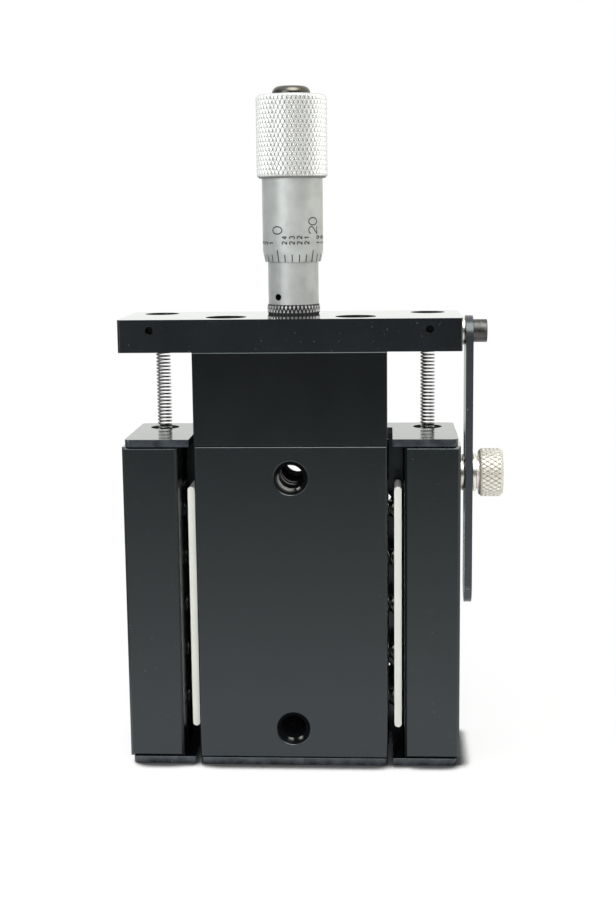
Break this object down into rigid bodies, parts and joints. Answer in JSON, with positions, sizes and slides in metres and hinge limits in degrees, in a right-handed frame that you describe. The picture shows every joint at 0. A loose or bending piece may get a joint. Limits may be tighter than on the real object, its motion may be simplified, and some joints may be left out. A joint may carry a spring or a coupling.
{
  "type": "ball bearing linear stage",
  "caption": "Small linear stage on crossed ball ways, with a micrometer drive, return springs and a slotted locking bar, standing on its end.",
  "frame": {"origin": "middle of the two mounting holes of the base, on the base's mounting face", "axes": "+X to the right seen from the mounting face, +Y from the mounting face to the carriage's load face, +Z along the travel, towards the micrometer"},
  "size_m": [0.0748, 0.0232, 0.134],
  "materials": {
    "black_anodised": "black anodised, satin",
    "black_oxide_steel": "black oxide, lightly oiled",
    "hardened_steel": "ground",
    "spring_steel": "drawn wire",
    "polished_balls": "polished",
    "cream_plastic": "moulded, matt",
    "satin_chrome": "satin chrome plate",
    "bright_knurl": "knurled, bright",
    "nickel": "nickel plate"
  },
  "bodies": {
    "base": {"base_slide": "black_anodised", "base_end_plate": "black_anodised", "base_end_plate_screws": "black_oxide_steel", "spacer_block": "black_anodised", "micrometer_plate": "black_anodised", "plate_screws": "black_oxide_steel", "upper_spring_pins": "hardened_steel", "base_way_rods": "hardened_steel", "micrometer_sleeve": "satin_chrome", "micrometer_lock_nut": "black_oxide_steel", "micrometer_adjusting_nut": "hardened_steel", "lock_bar": "black_anodised", "lock_bar_spacer": "nickel", "lock_bar_screw": "black_oxide_steel"},
    "carriage": {"carriage": "black_anodised", "carriage_top_end_plate": "black_anodised", "carriage_bottom_end_plate": "black_anodised", "carriage_end_plate_screws": "black_oxide_steel", "carriage_way_rods": "hardened_steel", "preload_strip": "hardened_steel", "preload_set_screws": "black_oxide_steel", "lower_spring_pins": "hardened_steel", "thrust_button": "hardened_steel", "backing_washer": "nickel", "extension_springs": "spring_steel"},
    "left_cage": {"left_ball_retainer": "cream_plastic", "left_balls": "polished_balls"},
    "right_cage": {"right_ball_retainer": "cream_plastic", "right_balls": "polished_balls"},
    "thimble": {"micrometer_spindle": "hardened_steel", "micrometer_thimble": "satin_chrome", "micrometer_grip": "bright_knurl", "micrometer_end_cap": "black_oxide_steel"},
    "clamp_washer": {"clamp_washer": "nickel"},
    "thumb_screw": {"thumb_screw": "nickel"}
  },
  "joints": [
    {"name": "thimble_turn", "type": "hinge", "parent": "carriage", "child": "thimble", "pos_m": [0, 0.0161, 0.0563], "axis": [0, 0, 1], "range_deg": [-3600, 3600]},
    {"name": "carriage_slide", "type": "slide", "parent": "base", "child": "carriage", "axis": [0, 0, 1], "range_m": [-0.00635, 0.00635], "deforming": ["extension_springs"]},
    {"name": "left_cage_slide", "type": "slide", "parent": "base", "child": "left_cage", "axis": [0, 0, 1], "range_m": [-0.00317, 0.00317]},
    {"name": "right_cage_slide", "type": "slide", "parent": "base", "child": "right_cage", "axis": [0, 0, 1], "range_m": [-0.00317, 0.00317]},
    {"name": "thumb_screw_turn", "type": "hinge", "parent": "clamp_washer", "child": "thumb_screw", "pos_m": [0.0355, 0.0097, 0.0249], "axis": [1, 0, 0], "range_deg": [0, 360]},
    {"name": "clamp_slide", "type": "slide", "parent": "carriage", "child": "clamp_washer", "axis": [1, 0, 0], "range_m": [0, 0.00079375]}
  ],
  "couplings": [
    {"joint": "thimble_turn", "follows": "carriage_slide", "rad_per_m": 9894.8},
    {"joint": "left_cage_slide", "follows": "carriage_slide", "ratio": 0.5},
    {"joint": "right_cage_slide", "follows": "carriage_slide", "ratio": 0.5},
    {"joint": "thumb_screw_turn", "follows": "clamp_slide", "rad_per_m": 7915.8}
  ]
}
